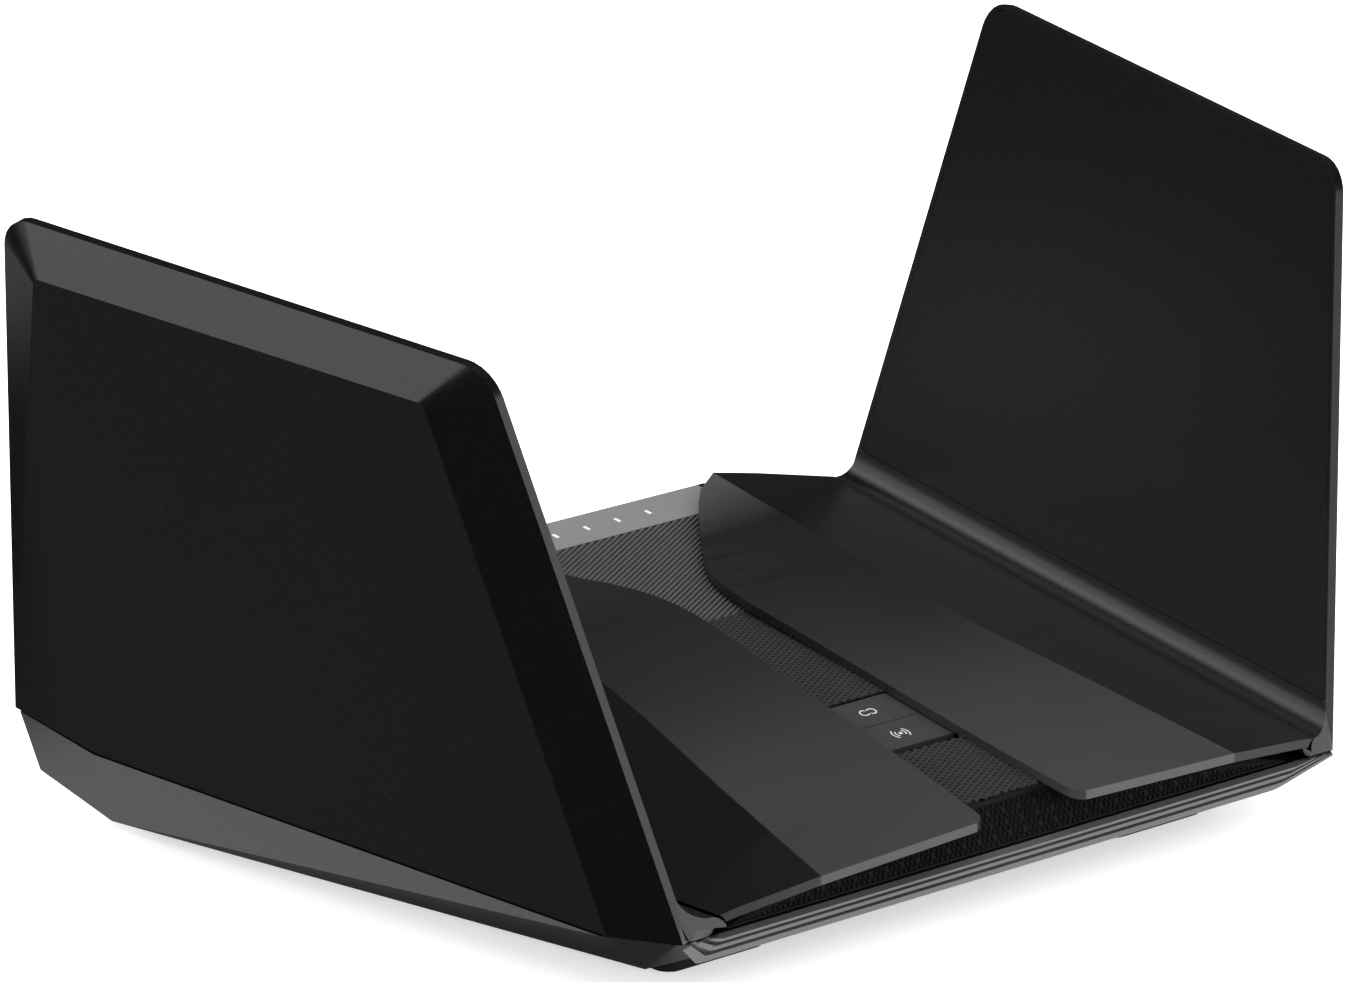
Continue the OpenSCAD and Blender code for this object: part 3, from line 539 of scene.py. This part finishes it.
def printed_arc(bm, cx, cw, r, t, a0, a1):
    """A flat printed arc, r to its middle and t wide, between two angles in degrees."""
    rows = []
    inner, outer = r - t / 2, r + t / 2
    for i in range(ARC_STEPS + 1):
        a = math.radians(a0 + (a1 - a0) * i / ARC_STEPS)
        ca, sa = math.cos(a), math.sin(a)
        rows.append([bm.verts.new(on_button(cx + q * ca, cw + q * sa, h))
                     for q, h in ((inner, INK_LOW), (inner, INK_TOP), (outer, INK_TOP), (outer, INK_LOW))])
    for a, b in zip(rows, rows[1:]):
        for k in range(3):
            bm.faces.new((a[k], b[k], b[k + 1], a[k + 1]))


bm = bmesh.new()
printed_arc(bm, 0, -BUTTON_MIDDLE, 0.28, 0.5, 0, 360)
for r in (1.35, 2.3):
    printed_arc(bm, 0, -BUTTON_MIDDLE, r, 0.36, -48, 48)
    printed_arc(bm, 0, -BUTTON_MIDDLE, r, 0.36, 132, 228)
make("wifi_mark", bm, "icon", "wifi_key")
bm = bmesh.new()
printed_arc(bm, -1.1, BUTTON_MIDDLE, 1.15, 0.4, 40, 320)
printed_arc(bm, 1.1, BUTTON_MIDDLE, 1.15, 0.4, -140, 140)
make("pairing_mark", bm, "icon", "wps_key")


def box(bm, lo, hi):
    """A box between two corners, millimetres."""
    r = bmesh.ops.create_cube(bm, size=1)
    for v in r["verts"]:
        v.co = Vector([((lo[k] + hi[k]) / 2 + v.co[k] * (hi[k] - lo[k])) * MM for k in range(3)])


# Sprung contacts in the five network sockets. Each is a wedge, higher at its inner end.
SOCKET_STARTS = [2 + 14.6 * i for i in range(4)] + [-22]
SOCKET_MIDDLE = 7.3
CONTACTS = 8
CONTACT_PITCH = 1.02
CONTACT_HALF = 0.2
CONTACT_Y = (89.5, 100.2)
CONTACT_FOOT = 16.15
CONTACT_TOPS = (19.6, 16.5)     # at the inner end and at the mouth

bm = bmesh.new()
y0, y1 = CONTACT_Y
for x0 in SOCKET_STARTS:
    for k in range(CONTACTS):
        x = x0 + SOCKET_MIDDLE + (k - 3.5) * CONTACT_PITCH
        a, b = x - CONTACT_HALF, x + CONTACT_HALF
        low = [(a, y0, CONTACT_FOOT), (b, y0, CONTACT_FOOT), (b, y1, CONTACT_FOOT), (a, y1, CONTACT_FOOT)]
        top = [(a, y0, CONTACT_TOPS[0]), (b, y0, CONTACT_TOPS[0]), (b, y1, CONTACT_TOPS[1]),
               (a, y1, CONTACT_TOPS[1])]
        vs = [bm.verts.new(Vector(p) * MM) for p in low + top]
        for f in ((3, 2, 1, 0), (4, 5, 6, 7), (0, 1, 5, 4), (1, 2, 6, 5), (2, 3, 7, 6), (3, 0, 4, 7)):
            bm.faces.new([vs[q] for q in f])
make("socket_contacts", bm, "gold", "base")

# Steel shells that line the two USB sockets: floor, roof and two walls
USB_STARTS = (-46, -66)
USB_X = (0.62, 13.88)           # inside width, from each socket's start
USB_Y = (86, 103.3)
USB_Z = (15.32, 20.88)
SHEET = 0.3

bm = bmesh.new()
y0, y1 = USB_Y
z0, z1 = USB_Z
for start in USB_STARTS:
    x0, x1 = start + USB_X[0], start + USB_X[1]
    box(bm, (x0, y0, z0), (x1, y1, z0 + SHEET))
    box(bm, (x0, y0, z1 - SHEET), (x1, y1, z1))
    box(bm, (x0, y0, z0 + SHEET), (x0 + SHEET, y1, z1 - SHEET))
    box(bm, (x1 - SHEET, y0, z0 + SHEET), (x1, y1, z1 - SHEET))
make("usb_shells", bm, "tin", "base")


# ---- Floor, light and camera ---------------------------------------------------

FLOOR_HALF = 30             # metres

bm = bmesh.new()
bmesh.ops.create_grid(bm, x_segments=1, y_segments=1, size=FLOOR_HALF)
me = bpy.data.meshes.new("floor")
bm.to_mesh(me)
bm.free()
floor = bpy.data.objects.new("floor", me)
scene.collection.objects.link(floor)
fm, fnt, fb = new_material("studio_floor")
fco = add(fnt, "ShaderNodeTexCoord")
fno = add(fnt, "ShaderNodeTexNoise", Scale=3.0, Detail=2.0)
fnt.links.new(fco.outputs["Object"], fno.inputs["Vector"])
fr = ramp(fnt, fno.outputs["Fac"], [(0.3, (0.86, 0.86, 0.86)), (0.7, (0.88, 0.88, 0.88))])
fnt.links.new(fr.outputs[0], fb.inputs["Base Color"])
fb.inputs["Roughness"].default_value = 0.9
fb.inputs["Specular IOR Level"].default_value = 0.1
fb.inputs["Emission Color"].default_value = (1, 1, 1, 1)
fb.inputs["Emission Strength"].default_value = 0.55
me.materials.append(fm)
floor.visible_glossy = False

world = bpy.data.worlds.new("studio")
scene.world = world
world.use_nodes = True
wnt = world.node_tree
wnt.nodes.clear()
wout = wnt.nodes.new("ShaderNodeOutputWorld")
wdir = wnt.nodes.new("ShaderNodeTexCoord")
DIM_ROOM = 0.012            # what glossy surfaces see between the cards


def reflector(toward, inner, outer, strength, total):
    """A soft round light card at infinity that only glossy surfaces see."""
    dot = wnt.nodes.new("ShaderNodeVectorMath")
    dot.operation = "DOT_PRODUCT"
    dot.inputs[1].default_value = Vector(toward).normalized()
    wnt.links.new(wdir.outputs["Generated"], dot.inputs[0])
    soft = wnt.nodes.new("ShaderNodeMapRange")
    soft.interpolation_type = "SMOOTHERSTEP"
    soft.inputs["From Min"].default_value = math.cos(math.radians(outer))
    soft.inputs["From Max"].default_value = math.cos(math.radians(inner))
    soft.inputs["To Max"].default_value = strength
    wnt.links.new(dot.outputs["Value"], soft.inputs["Value"])
    both = wnt.nodes.new("ShaderNodeMath")
    both.operation = "ADD"
    wnt.links.new(soft.outputs[0], both.inputs[0])
    if total is None:
        both.inputs[1].default_value = DIM_ROOM
    else:
        wnt.links.new(total, both.inputs[1])
    return both.outputs[0]


# Direction from the object, angle of the even middle and of the edge in degrees, strength
glow = None
for card in (
        ((0.68, -0.70, -0.12), 12, 28, 2.0),
        ((-0.66, 0.48, 0.58), 8, 22, 1.9),
        ((-0.32, 0.80, 0.42), 12, 26, 1.1),
        ((-0.10, 0.75, 0.66), 5, 16, 1.2),
        ((0.66, 0.56, 0.50), 4, 14, 0.15),
        ((0.02, 0.70, -0.72), 5, 22, 0.8),
        ((0.97, 0.20, 0.10), 8, 24, 0.9),
        ((-0.60, 0.62, -0.52), 2, 18, 0.17),
        ((0.62, 0.28, -0.73), 10, 21, 0.85)):
    glow = reflector(*card, glow)
shine = wnt.nodes.new("ShaderNodeBackground")
wnt.links.new(glow, shine.inputs["Strength"])
shine.inputs["Color"].default_value = (1, 0.985, 0.98, 1)
fill = wnt.nodes.new("ShaderNodeBackground")
fill.inputs["Color"].default_value = (1, 1, 1, 1)
fill.inputs["Strength"].default_value = 1.9
path = wnt.nodes.new("ShaderNodeLightPath")
pick = wnt.nodes.new("ShaderNodeMixShader")
wnt.links.new(path.outputs["Is Glossy Ray"], pick.inputs[0])
wnt.links.new(fill.outputs[0], pick.inputs[1])
wnt.links.new(shine.outputs[0], pick.inputs[2])
wnt.links.new(pick.outputs[0], wout.inputs[0])


def softbox(name, at, look, size, power, size_y=None):
    ld = bpy.data.lights.new(name, "AREA")
    ld.shape = "RECTANGLE"
    ld.size = size
    ld.size_y = size_y or size
    ld.energy = power
    lo = bpy.data.objects.new(name, ld)
    scene.collection.objects.link(lo)
    lo.location = at
    lo.rotation_euler = (Vector(look) - Vector(at)).to_track_quat("-Z", "Y").to_euler()
    return lo


softbox("top_box", (-0.1, -0.1, 2.2), (0, 0, 0), 0.8, 8, 0.8)
softbox("rear_card", (-0.10, 0.42, 0.05), (0.118, 0.03, 0.07), 0.14, 0.014, 0.08)

DOWN = 17.33                # degrees the camera looks down
ROUND = 40.87               # degrees it stands round to the left of the front

cam_data = bpy.data.cameras.new("camera")
cam = bpy.data.objects.new("camera", cam_data)
scene.collection.objects.link(cam)
cam.location = (-1.3239, -1.5098, 0.7055)
cam.rotation_euler = (math.radians(90 - DOWN), 0, math.radians(-ROUND))
cam_data.lens = 237.6
cam_data.sensor_width = 36
cam_data.sensor_fit = "HORIZONTAL"
cam_data.shift_x = -0.0008
cam_data.shift_y = 0.0030
cam_data.clip_start = 0.05
cam_data.clip_end = 100
scene.camera = cam

scene.view_settings.view_transform = "Standard"
scene.view_settings.look = "None"
